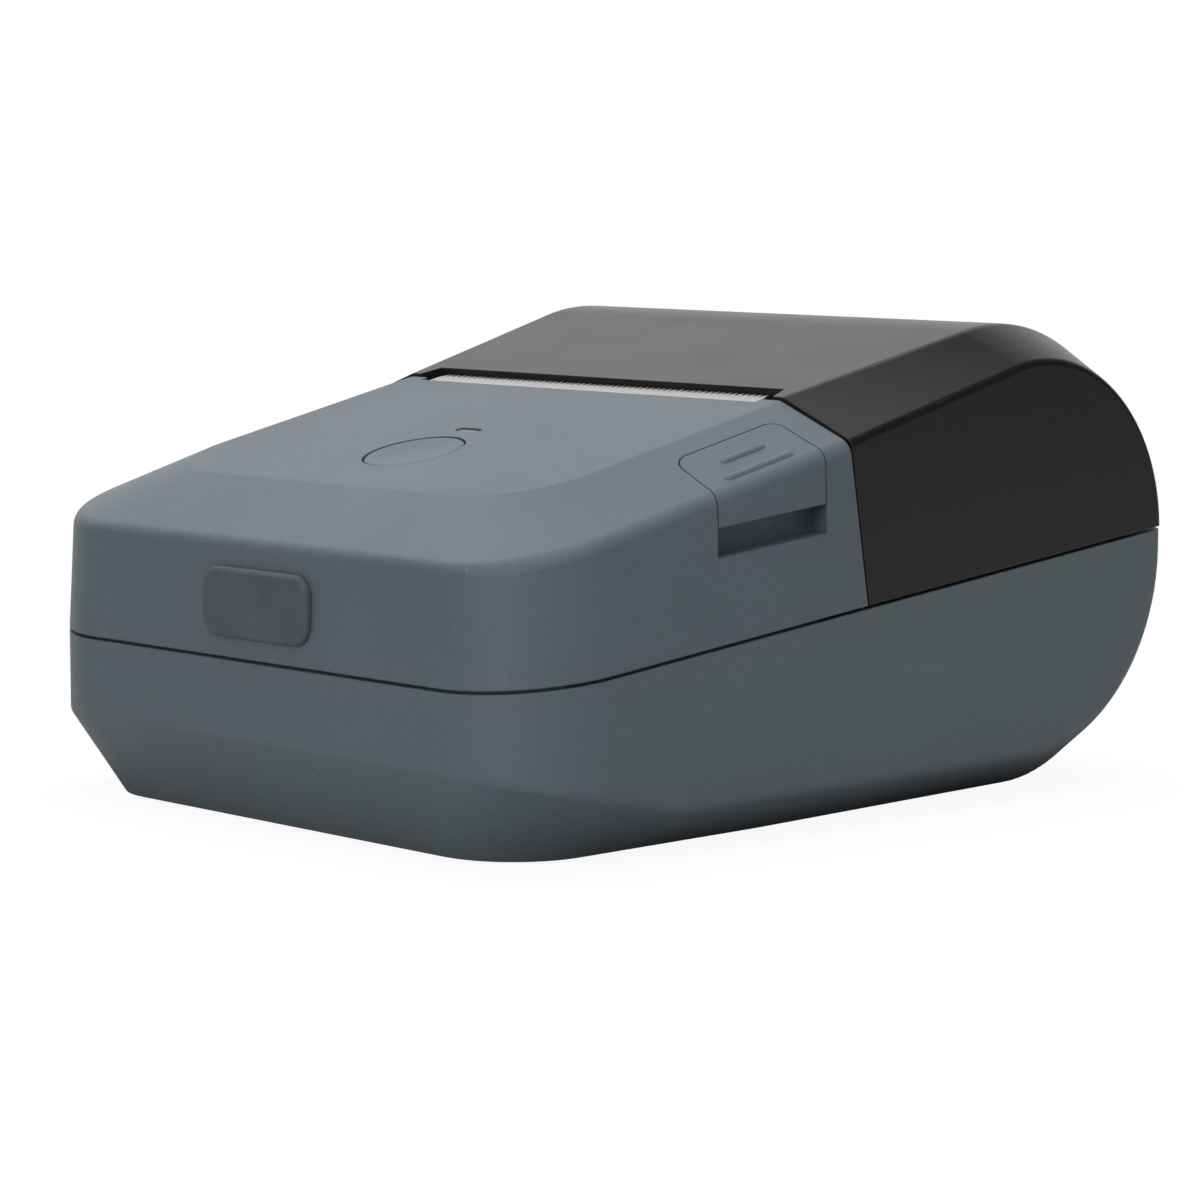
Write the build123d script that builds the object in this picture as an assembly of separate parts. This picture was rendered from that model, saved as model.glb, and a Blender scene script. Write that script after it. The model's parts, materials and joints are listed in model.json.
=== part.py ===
from build123d import *
import math
import os

# A portable label printer: a wedge-shaped casing with a hinged rear cover over the label roll.
# Millimetres. X to the right, Y back from the front face, Z up from a level just above the underside.
# At the end everything moves so that the origin is under the middle of the whole object.

# Casing
half_width = 53.5
length = 131.2
wall = 2.0
corner_radius = 16.0
split_front = 22.2
split_slope = 0.109
split_gap = 0.5
seam_y = 60.4
seam_z = 52.0
seam_lean = 0.14
seam_lean_above = -0.17
seam_gap = 0.3
underside = -0.7
block_join = 50.0
side_draft = 0.026

# Upper edges: the crease above the side walls, and the sloping top inside the bevel
crease_front = 38.1
top_front = 43.0
top_slope = 0.2245
crease_draw_in = 0.6
top_half_width = half_width - 14.6
top_rear_half_width = half_width - 10.3
top_setback = 12.4
top_corner_radius = 13.0
front_overrun = 28.0
crease_round = 2.4
lid_crease_round = 1.2
top_round = 2.5

# Rear cover: a line tangent to an arc over the roll, lower and tighter at the sides
lid_seam_z = 56.9
lid_radius = 29.9
lid_side_radius = 25.0
rear_level = 36.3
rear_setback = 4.9

# Lower edges: a crease that falls from the front and runs level along the sides
low_crease_front = 11.3
low_crease_slope = 0.215
low_crease_side = 5.1
bottom_setback = 5.2
bottom_half_width = half_width - 8.3
bottom_rear_half_width = half_width - 11.0
bottom_corner_radius = 12.5
rear_low_radius = 27.0
rear_low_side_radius = 28.8
crease_bend = (low_crease_front - low_crease_side) / low_crease_slope
low_crease_round = 2.0

# Lip that centres the upper shell on the lower one
lip_height = 1.8
lip_inset = 1.1
lip_thickness = 0.75
lip_clearance = 0.06
lip_room = 0.1
lip_root = 2.0
lip_end = 5.0

# Hinge of the rear cover
hinge_y = length - 2.8
hinge_radius = 2.6
hinge_pin_radius = 1.0
hinge_reach = half_width - 6.0
relief_reach = half_width - 3.5
tip_radius = 0.3
ear_inner = 33.0
ear_width = 4.0
ear_web = 9.0
ear_step = 3.3
ear_back = 0.6
ear_clearance = 0.3
pin_tail = 5.0
tie_front = 1.2
tie_height = 3.0
swing_clearance = 0.35
relief_clearance = 0.65
pin_fit = 0.03
running_fit = 0.05

# Power button and lamp on the sloping top
button_y = 28.3
button_radius = 7.15
button_gap = 0.22
button_travel = 0.8
button_thickness = 2.1
button_sunk = 0.05
button_dish = 0.45
button_dish_radius = 6.4
button_round = 0.4
flange_extra = 1.1
flange_drop = 0.1
flange_thickness = 0.8
stem_radius = 2.0
stem_length = 4.6
lamp_x = -0.5
lamp_y = 38.9
lamp_length = 4.8
lamp_width = 1.6
lamp_sunk = 0.3
lamp_depth = 3.0

# Port cover and charging socket on the front
port_z = 30.0
cover_x = 0.5
cover_width = 22.5
cover_height = 9.6
cover_corner = 3.0
cover_proud = 1.1
cover_round = 0.7
cover_gap = 0.02
socket_width = 9.0
socket_height = 3.3
socket_depth = 7.3
socket_face_y = 2.7
socket_corner = 1.4
socket_shell = 0.35
socket_back = 1.5
tongue_half = 3.2
tongue_half_height = 0.35
port_margin = 0.6
port_corner = 1.5
plug_clearance = 0.2
plug_depth = 2.0
plug_corner = 1.2

# Latch button on the right, with the finger window under it
latch_front = 34.8
latch_back = 55.4
latch_front_slant = 2.2
latch_back_slant = 0.8
latch_inner_x = half_width - 10.8
latch_front_corner = 3.0
latch_back_corner = 1.8
latch_gap = 0.2
window_top = 41.8
window_height = 4.0
window_slope = 0.095
window_wall_x = half_width - 5.1
pocket_wall = 1.2
window_gap = 0.4
rib_proud = 0.35
rib_radius = 0.8
rib_places = ((half_width - 7.0, 42.0, 50.4), (half_width - 3.4, 39.2, 52.1))

# Latch rod with its two hooks
rod_y = 51.5
rod_z = 41.0
rod_radius = 1.5
rod_left = 3.7 - half_width
rod_right = half_width - 6.5
hook_width = 1.5
hook_right_x = half_width - 8.3
hook_left_x = 4.0 - half_width
hook_low = ((-1.0, -3.0), (3.0, -1.0))
hook_high = ((1.0, 3.2), (-2.5, 1.6))
hook_nose = ((-5.3, -3.4), (-3.3, -1.6), (-2.5, 1.2), (-3.7, 1.6), (-5.5, 0.2))
finger_y = 42.0
finger_z = 42.4
finger_reach = 0.8
finger_root = 2.2
finger_top = 1.6
finger_low = 1.0
leg_half = 1.5
leg_clearance = 0.2
latch_spring_x = (half_width - 23.5, half_width - 17.5)
latch_spring_top = 46.8
latch_spring_bend = 44.6
latch_spring_reach = 1.2

# Label cutter strip and the slot that the label leaves through
cutter_half = half_width - 19.1
cutter_front = 59.9
cutter_back = 63.0
cutter_thickness = 0.25
cutter_sunk = 0.3
cutter_end_room = 0.9
shelf_back = 62.3
shelf_thickness = 1.2
tooth_pitch = 1.2
tooth_depth = 1.5
tooth_root = 0.3
exit_half = half_width - 17.3
exit_back = 64.9
exit_slant = 2.0

# Print mechanism
platen_y = 67.9
platen_z = 46.0
platen_radius = 5.0
platen_half = half_width - 15.5
shaft_radius = 2.0
shaft_left = 3.5 - half_width
shaft_right = half_width - 6.5
gear_module = 0.6
platen_teeth = 20
idler_teeth = 30
pinion_teeth = 12
gear_left = 6.9 - half_width
gear_width = 2.6
gear_backlash = 0.12
gear_root = 1.2
pressure_angle = 20
idler_lean = 0.155
pinion_fall = 0.35
idler_pin_radius = 1.5
motor_radius = 10.0
motor_length = 20.0
motor_shaft_radius = 1.0
motor_boss_radius = 3.1
motor_screw_rise = 7.5
motor_screw_head = 1.7
motor_head_height = 0.3
motor_screw_length = 2.5
shaft_end = 0.3
pin_gap = 0.2
pin_head = 0.8
pin_head_extra = 1.2
frame_plate_x = half_width - 11.5
frame_plate = 1.5
frame_floor_z = 13.5
frame_front = 46.0
frame_back = 64.0
frame_top = 47.2
frame_top_front = 49.0
frame_top_back = 61.0
frame_shoulder = 43.5
frame_step = 38.0
frame_step_front = 44.0
frame_arm_back = 3.9
frame_arm_low = 6.2
frame_arm_high = 5.3
frame_arm_rise = 8.3
frame_screw_x = half_width - 18.5
frame_screw_ys = (49.0, 61.0)
head_back = 62.7
head_board_thickness = 1.5
head_half = half_width - 17.5
head_board_low = 40.0
head_board_high = 51.5
head_board_extra = 1.5
heatsink_front = 57.2
head_low = 39.0
head_high = 52.0
fin_count = 5
fin_pitch = 1.4
fin_groove = 0.6
fin_depth = 0.9
fin_first = 5.6
cross_wall_y = 53.5
cross_wall = 1.5
cross_wall_low = 38.0
head_spring_x = 16.0
head_spring_half = 3.0
head_spring_low = 39.4
head_spring_bend = 42.4
head_spring_touch = 43.8
head_spring_top = 46.4
spring_strip = 0.35
pivot_y = 59.2
pivot_z = 41.5
pivot_radius = 1.2

# Cover liner that carries the platen
cheek_inner = half_width - 14.5
cheek_thickness = 2.5
cheek_front = 63.7
cheek_back = 72.2
cheek_drop = 4.2
cheek_shoulder = 49.0
bush_radius = 3.5
bush_flange_radius = 4.4
bush_flange = 0.8
liner_thickness = 1.5
liner_front = 64.9
liner_back = 77.5
liner_drop = 3.6
lid_screw_x = 25.0
lid_screw_y = 72.0
lid_screw_length = 4.7
lid_boss_root = 0.2
exit_front = 2.0

# Label roll space, its side guides and their pinion
bin_y = length - 33.2
bin_z = 36.0
bin_radius = 28.8
bin_wall = 1.2
bin_half = half_width - 12.9
bin_rear_top = 30.0
bin_drop = 1.2
saddle_x = half_width - 19.5
saddle_width = 2.0
saddle_runs = ((bin_y - 3.0, bin_y + 8.0), (bin_y + 11.5, bin_y + 24.0))
saddle_top = 16.0
guide_radius = 27.4
guide_thickness = 2.0
guide_rest_x = half_width - 13.3
guide_travel = 15.0
guide_top = 50.0
guide_notch_y = bin_y - 19.5
guide_notch_z = 40.0
guide_stem = 5.0
guide_stem_half = 1.0
stem_clearance = 0.3
rack_y = bin_y - 14.0
rack_module = 1.0
rack_teeth = 9
guide_pinion_teeth = 10
rack_bottom = 2.4
rack_thickness = 2.6
rack_back = 3.2
rack_reach = 22.0
post_radius = 1.6

# Electronics and battery
inner_gap = 0.5
battery_front = 8.0
battery_back = 43.0
battery_height = 20.0
battery_round = 3.0
board_half = half_width - 15.0
board_front = 6.0
board_back = 42.0
board_bottom = 26.8
board_thickness = 1.6
board_screw_x = board_half - 2.7
board_screw_ys = (20.0, 38.6)
chips = ((-12.0, 26.0, 12.0, 12.0, 1.2), (6.0, 26.0, 9.0, 9.0, 1.0), (20.0, 14.0, 14.0, 11.0, 2.0),
         (22.0, 32.0, 8.0, 8.0, 1.0))
key_board_half = 21.0
key_board_depth = 7.0
key_board_thickness = 1.2
key_board_low = -9.0
key_board_high = 15.0
key_screw_x = 17.0
key_screw_v = 8.0
switch_size = 6.0
switch_body = 0.9
plunger_radius = 1.7
lamp_chip = 3.2
lamp_chip_height = 1.2

# Casing screws and feet
casing_screws = ((half_width - 12.2, 14.6), (half_width - 11.5, 31.0))
boss_radius = 3.0
screw_radius = 1.25
screw_head_radius = 2.5
screw_head_height = 2.0
screw_sink = 1.0
screw_bite = 9.0
screw_room = 0.15
screw_head_room = 0.2
pilot_depth = 6.0
small_screw_radius = 1.0
small_head_radius = 1.9
small_head_height = 1.2
small_boss_radius = 2.3
small_screw_length = 5.0
small_screw_room = 0.1
foot_radius = 4.5
foot_proud = 0.5
foot_recess = 0.6
foot_room = 0.1
foot_places = ((half_width - 23.5, 13.0), (half_width - 21.5, bin_y - 10.0))

# How far a wall surface moves per millimetre of inset, where it doesn't stand square
side_crease_drop = 0.73
top_drop = 1.03
top_shrink = 0.17
low_crease_rise = 0.56
bottom_shrink = 0.28
bottom_front_shift = 0.66
rear_arc_shrink = 0.7

reach = 200.0
slop = 3.0

# The cover's slope makes its line tangent to the arc over the roll
lid_centre_y = length - lid_radius
lid_rise = math.asin(lid_radius / math.dist((lid_centre_y, rear_level), (seam_y, lid_seam_z))) \
    - math.atan2(lid_seam_z - rear_level, lid_centre_y - seam_y)
lid_slope = math.tan(lid_rise)


def split_height(y):
    """Height of the line between the upper and lower casings."""
    return split_front + split_slope * y


def seam_at(z):
    """How far back the joint between the upper casing and the cover lies at a height."""
    lean = seam_lean_above if z > seam_z else seam_lean
    return seam_y - lean * (z - seam_z)


def top_height(y):
    return top_front + top_slope * y


def below(height_front, slope):
    """All space below a plane that rises towards the back."""
    profile = Polygon(
        (-reach, height_front - slope * reach), (reach, height_front + slope * reach),
        (reach, -2 * reach), (-reach, -2 * reach), align=None,
    )
    return along_x(profile, -reach, reach)


def along_x(profile, x_from, x_to):
    """A solid from a side view, drawn as (y, z), standing between two places along X."""
    face = Plane(origin=(x_from, 0, 0), x_dir=(0, 1, 0), z_dir=(1, 0, 0)) * profile
    return extrude(face, amount=x_to - x_from, dir=(1, 0, 0))


def in_front_of_seam(offset):
    """All space in front of the joint with the cover, moved by an offset along Y."""
    low = -reach
    high = reach
    profile = Polygon(
        (-reach, low), (seam_at(low) + offset, low), (seam_y + offset, seam_z),
        (seam_at(high) + offset, high), (-reach, high), align=None,
    )
    return along_x(profile, -reach, reach)


def box(x, y, z):
    """A box from its three ranges."""
    return Pos((x[0] + x[1]) / 2, (y[0] + y[1]) / 2, (z[0] + z[1]) / 2) * Box(
        x[1] - x[0], y[1] - y[0], z[1] - z[0]
    )


def rod_x(x_from, x_to, y, z, radius):
    """A round bar along X."""
    return Pos((x_from + x_to) / 2, y, z) * Rot(0, 90, 0) * Cylinder(radius, x_to - x_from)


def post(x, y, z_from, z_to, radius):
    """A round post along Z."""
    return Pos(x, y, (z_from + z_to) / 2) * Cylinder(radius, z_to - z_from)


def both_sides(make):
    """The right-hand piece and its mirror image."""
    piece = make()
    return piece + mirror(piece, about=Plane.YZ)


def ring(half, front, radius, height):
    """A closed casing outline: round front corners, straight sides, heights from a function of y."""
    mid = radius * (1 - math.sqrt(0.5))
    plan = (
        (half - radius, front), (half - mid, front + mid), (half, front + radius),
        (half, crease_bend), (half, block_join + front_overrun),
    )
    right = [(x, y, height(y)) for x, y in plan]
    left = [(-x, y, z) for x, y, z in right]
    return Wire([
        Line(left[0], right[0]).edge(),
        ThreePointArc(right[0], right[1], right[2]).edge(),
        Line(right[2], right[3]).edge(),
        Line(right[3], right[4]).edge(),
        Line(right[4], left[4]).edge(),
        Line(left[4], left[3]).edge(),
        Line(left[3], left[2]).edge(),
        ThreePointArc(left[2], left[1], left[0]).edge(),
    ])


def front_lower(inset):
    """Front of the lower casing's body, from the underside up past the split."""
    def crease(y):
        level = max(low_crease_front - low_crease_slope * y, low_crease_side)
        return level + low_crease_rise * inset

    return Solid.make_loft([
        ring(bottom_half_width - bottom_shrink * inset, bottom_setback + bottom_front_shift * inset,
             bottom_corner_radius, lambda y: underside + inset),
        ring(half_width - inset, inset, corner_radius - inset, crease),
        ring(half_width - inset, inset, corner_radius - inset, lambda y: split_height(y) + slop),
    ], ruled=True)


def front_upper(inset, rounded=False):
    """Front of the upper casing's body, from below the split up to the sloping top."""
    body = Solid.make_loft([
        ring(half_width - inset, inset, corner_radius - inset, lambda y: split_height(y) - slop),
        ring(half_width - inset, inset, corner_radius - inset, split_height),
        ring(half_width - crease_draw_in - inset, crease_draw_in + inset, corner_radius - inset,
             lambda y: crease_front + top_slope * y - side_crease_drop * inset),
        ring(top_half_width - top_shrink * inset, top_setback + top_shrink * inset, top_corner_radius,
             lambda y: top_height(y) - top_drop * inset),
    ], ruled=True)
    if rounded:
        def on_line(edge, offset):
            middle = edge @ 0.5
            return abs(middle.Z - offset(middle.Y)) < 0.05 and middle.Y < block_join + slop

        creases = [e for e in body.edges() if on_line(e, lambda y: crease_front + top_slope * y)]
        tops = [e for e in body.edges() if on_line(e, top_height)]
        body = fillet(tops, top_round)
        creases = [e for e in body.edges() if on_line(e, lambda y: crease_front + top_slope * y)]
        body = fillet(creases, crease_round)
    return body


def rear_wire(x_of, centre, corners, arc_from):
    """A closed side view of the rear: corners (y, z) in order, with one arc round a centre."""
    edges = []
    for i, start in enumerate(corners):
        end = corners[(i + 1) % len(corners)]
        if i == arc_from:
            middle = arc_middle(centre, start, end)
            edges.append(ThreePointArc(*[(x_of(y, z), y, z) for y, z in (start, middle, end)]).edge())
        else:
            edges.append(Line((x_of(*start), *start), (x_of(*end), *end)).edge())
    return Wire(edges)


def arc_middle(centre, start, end):
    """The middle, as (y, z), of the arc between two points round a centre."""
    angles = [math.atan2(z - centre[1], y - centre[0]) for y, z in (start, end)]
    radius = math.dist(centre, start)
    angle = sum(angles) / 2
    return centre[0] + radius * math.cos(angle), centre[1] + radius * math.sin(angle)


def share_between(value, start, end):
    """How far a value lies from start to end, from 0 to 1."""
    return min(max((value - start) / (end - start), 0), 1)


def rear_lower(inset):
    """Rear of the lower casing's body: a level underside, an arc and an upright back."""
    top = rear_level + 3 * slop

    def wire(sign, rear, floor, radius, x_of_right):
        centre = (rear - radius, floor + radius)
        corners = [(block_join, floor), (centre[0], floor), (rear, centre[1]), (rear, top), (block_join, top)]
        return rear_wire(lambda y, z: sign * x_of_right(y, z), centre, corners, 1)

    def inner_x(y, z):
        """Half the width of the underside and the flat back, between the bevels."""
        level = share_between(z, underside + inset, underside + rear_low_radius)
        at_floor = bottom_half_width + (bottom_rear_half_width - bottom_half_width) * share_between(
            y, block_join, length - rear_low_radius)
        return at_floor + (top_rear_half_width - at_floor) * level - bottom_shrink * inset

    outer = (
        length - rear_setback - rear_arc_shrink * inset, low_crease_side + low_crease_rise * inset,
        rear_low_side_radius - rear_arc_shrink * inset, lambda y, z: half_width - inset,
    )
    inner = (length - inset, underside + inset, rear_low_radius - inset, inner_x)
    return Solid.make_loft(
        [wire(-1, *outer), wire(-1, *inner), wire(1, *inner), wire(1, *outer)], ruled=True
    )


def top_inner_x(y):
    """Half the width of the cover's top between its bevels, which widens towards the rear."""
    share = (y - seam_y) / (length - lid_radius * (1 + math.sin(lid_rise)) - seam_y)
    return top_half_width + (top_rear_half_width - top_half_width) * min(share, 1)


def rear_upper(inset, rounded=False):
    """The cover's body: a line that rises into an arc over the roll, with bevelled sides."""
    low = split_height(block_join) - 2 * slop

    def wire(sign, rear, radius, x_of_right):
        centre = (rear - radius, rear_level)
        tangent = (centre[0] - radius * math.sin(lid_rise), rear_level + radius * math.cos(lid_rise))
        front_z = tangent[1] - lid_slope * (tangent[0] - block_join)
        corners = [(block_join, low), (rear, low), (rear, rear_level), tangent, (block_join, front_z)]
        return rear_wire(lambda y, z: sign * x_of_right(y, z), centre, corners, 2)

    outer = (
        length - rear_setback - rear_arc_shrink * inset, lid_side_radius - rear_arc_shrink * inset,
        lambda y, z: half_width - inset - side_draft * (z - split_height(y)),
    )
    inner = (length - inset, lid_radius - inset, lambda y, z: top_inner_x(y) - top_shrink * inset)
    body = Solid.make_loft(
        [wire(-1, *outer), wire(-1, *inner), wire(1, *inner), wire(1, *outer)], ruled=True
    )
    if rounded:
        def upper_edges(solid, near):
            return [
                e for e in solid.edges()
                if all(near(abs((e @ t).X), (e @ t).Y) for t in (0.1, 0.5, 0.9))
                and (e @ 0.5).Y > block_join + 1 and (e @ 0.5).Z > low + 1
            ]

        body = fillet(upper_edges(body, lambda x, y: abs(x - top_inner_x(y)) < 0.05), top_round)
        body = fillet(upper_edges(body, lambda x, y: half_width - 1.5 < x < half_width + 0.5), lid_crease_round)
    return body


def lower_body(inset):
    """The whole lower casing's body, open to the split plane."""
    front = front_lower(inset) & box((-reach, reach), (-reach, block_join), (-reach, reach))
    return front + rear_lower(inset)


def gear_profile(module, teeth, backlash, turn):
    """A spur gear outline with involute flanks; one tooth points along +X, turned by some degrees."""
    pressure = math.radians(pressure_angle)
    pitch = module * teeth / 2
    base = pitch * math.cos(pressure)
    tip = pitch + module
    root = pitch - gear_root * module
    half_tooth = math.pi / (2 * teeth) - backlash / (2 * pitch) + math.tan(pressure) - pressure

    def flank(radius):
        if radius <= base:
            return half_tooth
        roll = math.sqrt((radius / base) ** 2 - 1)
        return half_tooth - (roll - math.atan(roll))

    steps = [root, max(root, base), pitch, tip]
    points = []
    for k in range(teeth):
        middle = 2 * math.pi * k / teeth + math.radians(turn)
        for radius in steps:
            angle = middle - flank(radius)
            points.append((radius * math.cos(angle), radius * math.sin(angle)))
        for radius in reversed(steps):
            angle = middle + flank(radius)
            points.append((radius * math.cos(angle), radius * math.sin(angle)))
    clean = [p for i, p in enumerate(points) if math.dist(p, points[i - 1]) > 1e-6]
    return make_face(Polyline(*clean, close=True))


def gear_along_x(module, teeth, turn, y, z, bore):
    """A gear between its two places along X, centred on a shaft; turn counts from +Y towards +Z."""
    disc = Pos(y, z) * (gear_profile(module, teeth, gear_backlash, turn) - Circle(bore))
    return along_x(disc, gear_left, gear_left + gear_width)


# Places that several pieces share
battery_half = board_screw_x - small_boss_radius - inner_gap
port_face_y = crease_draw_in * (port_z - split_front) / (crease_front - split_front)
top_normal = Vector(0, -top_slope, 1).normalized()
button_plane = Plane(origin=(0, button_y, top_height(button_y)), x_dir=(1, 0, 0), z_dir=top_normal)
lamp_plane = Plane(origin=(lamp_x, lamp_y, top_height(lamp_y)), x_dir=(1, 0, 0), z_dir=top_normal)
idler_distance = gear_module * (platen_teeth + idler_teeth) / 2
pinion_distance = gear_module * (idler_teeth + pinion_teeth) / 2
idler_angle = math.atan2(-math.sqrt(1 - idler_lean ** 2), -idler_lean)
idler_y = platen_y + idler_distance * math.cos(idler_angle)
idler_z = platen_z + idler_distance * math.sin(idler_angle)
pinion_angle = math.pi + pinion_fall
motor_y = idler_y + pinion_distance * math.cos(pinion_angle)
motor_z = idler_z + pinion_distance * math.sin(pinion_angle)
hinge_z = rear_level
motor_screw_levels = (motor_z - motor_screw_rise, motor_z + motor_screw_rise)
screw_seat = underside + screw_sink + screw_head_height
screw_spots = [(s * x, y) for x, y in casing_screws for s in (-1, 1)]
foot_spots = [(s * x, y) for x, y in foot_places for s in (-1, 1)]
frame_spots = [(s * frame_screw_x, y) for y in frame_screw_ys for s in (-1, 1)]
board_spots = [(s * board_screw_x, y) for y in board_screw_ys for s in (-1, 1)]
rack_pitch_offset = rack_module * guide_pinion_teeth / 2
stem_offset = rack_pitch_offset + rack_back / 2 + gear_root * rack_module


def latch_prism(margin, z_low):
    """Space over the latch button's plan view, above a plane that slopes like the finger window."""
    x_outer = half_width + slop
    plan = make_face(Polyline(
        (x_outer, latch_front), (latch_inner_x, latch_front + latch_front_slant),
        (latch_inner_x, latch_back + latch_back_slant), (x_outer, latch_back), close=True))
    inner = plan.vertices().sort_by(Axis.X)[:2].sort_by(Axis.Y)
    plan = fillet(inner[0], latch_front_corner)
    back = plan.vertices().filter_by(lambda v: v.Y > latch_back + latch_back_slant / 2)
    plan = fillet(back, latch_back_corner)
    if margin:
        plan = offset(plan, margin)
    prism = extrude(plan, amount=reach / 2)
    return prism - below(z_low - window_slope * latch_front, window_slope)


def bevel_height(x, y):
    """Height of the bevel between the sloping top and the right-hand crease."""
    fall = (top_front - crease_front) / (half_width - crease_draw_in - top_half_width)
    return top_height(y) - fall * (x - top_half_width)


def ears():
    """Hinge ears on the lower casing, each on a cranked web that stands on the rear wall."""
    front = bin_y + bin_radius + bin_wall + ear_clearance
    back = hinge_y + hinge_radius
    knee = bin_rear_top + ear_clearance
    web = Polygon(
        (front, hinge_z - ear_web), (back, hinge_z - ear_web), (back, hinge_z - ear_step),
        (hinge_y + ear_back, hinge_z - ear_step), (hinge_y + ear_back, hinge_z),
        (hinge_y - hinge_radius, hinge_z), (hinge_y - hinge_radius, knee), (front, knee), align=None)

    def one():
        disc = rod_x(ear_inner, ear_inner + ear_width, hinge_y, hinge_z, hinge_radius)
        return disc + along_x(web, ear_inner, ear_inner + ear_width)

    return both_sides(one)


def hinge_spindle(margin):
    """A barrel across the flat of the rear, narrowing to nothing inside the bevelled corners."""
    core = rod_x(-top_rear_half_width, top_rear_half_width, hinge_y, hinge_z, hinge_radius + margin)
    taper = hinge_reach - top_rear_half_width

    def tip():
        cone = Cone(hinge_radius + margin, tip_radius + margin, taper)
        return Pos(top_rear_half_width + taper / 2, hinge_y, hinge_z) * Rot(0, 90, 0) * cone

    return core + both_sides(tip)


def rear_relief():
    """Cut in the lower casing's rear wall that the cover's edge swings into."""
    shallow = hinge_z - tip_radius - relief_clearance
    deep = hinge_z - hinge_radius - relief_clearance
    outline = Polygon(
        (-relief_reach, shallow), (-hinge_reach, shallow), (-top_rear_half_width, deep),
        (top_rear_half_width, deep), (hinge_reach, shallow), (relief_reach, shallow),
        (relief_reach, hinge_z + slop), (-relief_reach, hinge_z + slop), align=None)
    return extrude(Plane(origin=(0, length + slop, 0), x_dir=(1, 0, 0), z_dir=(0, -1, 0)) * outline,
                   amount=length + slop - hinge_y)


def casing_boss(x, y, z_from, z_to):
    return post(x, y, z_from, z_to, boss_radius)


def lower_shell():
    """Lower casing: a tray with bosses, the roll's saddles, a lip and the ears of the hinge."""
    base = underside + wall / 2
    bosses = [casing_boss(x, y, base, split_height(y) + slop) for x, y in screw_spots]
    bosses += [post(x, y, base, board_bottom, small_boss_radius) for x, y in board_spots]
    bosses += [post(x, y, base, frame_floor_z, boss_radius) for x, y in frame_spots]
    bosses.append(post(0, rack_y, base, rack_bottom + rack_thickness + stem_clearance, post_radius))
    for y_from, y_to in saddle_runs:
        for x in (-saddle_x, saddle_x):
            rib = box((x - saddle_width / 2, x + saddle_width / 2), (y_from, y_to), (base, saddle_top))
            bosses.append(rib - rod_x(-reach, reach, bin_y, bin_z, bin_radius + bin_wall))
    inside = (Part() + bosses) & lower_body(wall / 2)
    shell = (round_low_creases(lower_body(0)) - lower_body(wall)) + inside
    shell -= above_split(-split_gap / 2)
    shell += lip(lip_inset, lip_inset + lip_thickness)
    shell = shell - hinge_spindle(swing_clearance) - rear_relief()
    shell += ears() & rear_lower(0)
    shell -= rod_x(-reach, reach, hinge_y, hinge_z, hinge_pin_radius + pin_fit)
    for x, y in screw_spots:
        shell -= post(x, y, underside - slop, screw_seat, screw_head_radius + screw_head_room)
        shell -= post(x, y, underside - slop, reach / 4, screw_radius + screw_room)
    for x, y in board_spots:
        shell -= post(x, y, board_bottom - pilot_depth, reach / 4, small_screw_radius)
    for x, y in frame_spots:
        shell -= post(x, y, frame_floor_z - pilot_depth, reach / 4, small_screw_radius)
    for x, y in foot_spots:
        shell -= post(x, y, underside - slop, underside + foot_recess, foot_radius + foot_room)
    return shell


def round_low_creases(solid):
    def low_crease(edge):
        middle = edge @ 0.5
        crease = max(low_crease_front - low_crease_slope * middle.Y, low_crease_side)
        return abs(middle.Z - crease) < 0.05 and middle.Y < block_join + slop
    edges = [e for e in solid.edges() if low_crease(e)]
    return fillet(edges, low_crease_round)


def above_split(offset):
    """All space above the split between the casings, moved by an offset along Z."""
    return box((-reach, reach), (-reach, reach), (-reach, reach)) - below(split_front + offset, split_slope)


def lip(outer_inset, inner_inset):
    """The ring that stands up inside the upper casing's wall."""
    band = front_upper(outer_inset) - front_upper(inner_inset)
    band &= below(split_front + lip_height, split_slope) - below(split_front - lip_root, split_slope)
    return band & box((-reach, reach), (-reach, block_join + lip_end), (-reach, reach))


def upper_shell():
    outer = front_upper(0, rounded=True) & in_front_of_seam(0)
    shell = outer - front_upper(wall)
    shell -= below(split_front + split_gap / 2, split_slope)
    rebate = front_upper(lip_inset - lip_clearance) & below(split_front + lip_height + lip_room, split_slope)
    shell -= rebate & box((-reach, reach), (-reach, block_join + lip_end + lip_clearance), (-reach, reach))
    inside = Part() + [
        casing_boss(x, y, split_height(y) + lip_height, reach / 3) - post(x, y, 0, reach / 3, screw_radius)
        for x, y in screw_spots
    ]
    key_posts = Part() + [
        button_plane * Pos(s * key_screw_x, key_screw_v, -key_board_depth / 2)
        * (Cylinder(small_boss_radius, key_board_depth) - Cylinder(small_screw_radius, key_board_depth))
        for s in (-1, 1)
    ]
    shell += (inside + key_posts) & front_upper(wall / 2)
    shell -= button_plane * Cylinder(button_radius + button_gap, 4 * wall)
    shell -= lamp_plane * lamp_slot(running_fit, slop)
    port = RectangleRounded(socket_width + 2 * port_margin, socket_height + 2 * port_margin, port_corner)
    shell -= extrude(Plane(origin=(cover_x, -slop, port_z), z_dir=(0, 1, 0), x_dir=(1, 0, 0)) * port,
                     amount=2 * slop)
    shell -= latch_prism(latch_gap, window_top - window_height)
    shell += window_pocket() & front_upper(wall / 2)
    return shell + cutter_shelf() - cutter_seat()


def window_pocket():
    """Back, floor and sides of the finger window under the latch button."""
    floor = window_top - window_height
    ceiling = window_top - window_gap - window_slope * latch_front
    around = latch_prism(latch_gap + pocket_wall, floor - pocket_wall) & below(ceiling, window_slope)
    around &= box((window_wall_x, half_width), (0, reach), (0, reach))
    space = latch_prism(latch_gap, floor) & box((window_wall_x + pocket_wall, reach), (0, reach), (0, reach))
    return around - space


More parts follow.
